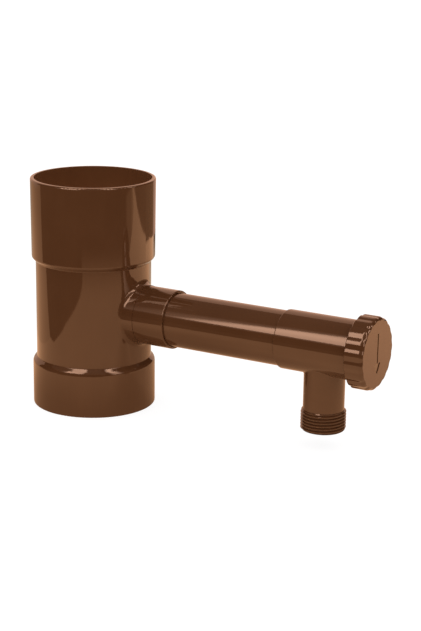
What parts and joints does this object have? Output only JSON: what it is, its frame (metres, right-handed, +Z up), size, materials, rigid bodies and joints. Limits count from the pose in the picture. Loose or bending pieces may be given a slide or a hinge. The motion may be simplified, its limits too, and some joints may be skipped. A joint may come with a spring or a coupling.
{
  "type": "rainwater diverter",
  "caption": "Round downpipe section with a side arm that collects rainwater and ends in a threaded outlet with a quarter-turn knob.",
  "frame": {"origin": "centre of the lower socket's mouth, on the downpipe axis at the foot of the lower collar", "axes": "+Z up the downpipe, out of the upper socket; +X out along the arm to the knob; +Y completes the right hand"},
  "size_m": [0.2904, 0.0962, 0.1782],
  "materials": {
    "body_plastic": "gloss brown, moulded",
    "collector_plastic": "gloss brown, moulded",
    "tube_plastic": "gloss brown, extruded",
    "tee_plastic": "gloss brown, moulded",
    "plug_plastic": "gloss brown, moulded",
    "seal_rubber": "smooth black rubber",
    "knob_plastic": "gloss brown, moulded"
  },
  "bodies": {
    "housing": {"diverter_body": "body_plastic", "collector_ring": "collector_plastic", "arm_tube": "tube_plastic", "outlet_tee": "tee_plastic"},
    "tap": {"valve_plug": "plug_plastic", "plug_seals": "seal_rubber", "control_knob": "knob_plastic"}
  },
  "joints": [
    {"name": "knob_turn", "type": "hinge", "parent": "housing", "child": "tap", "pos_m": [0.2385, 0, 0.0764], "axis": [-1, 0, 0], "range_deg": [0, 90]}
  ]
}
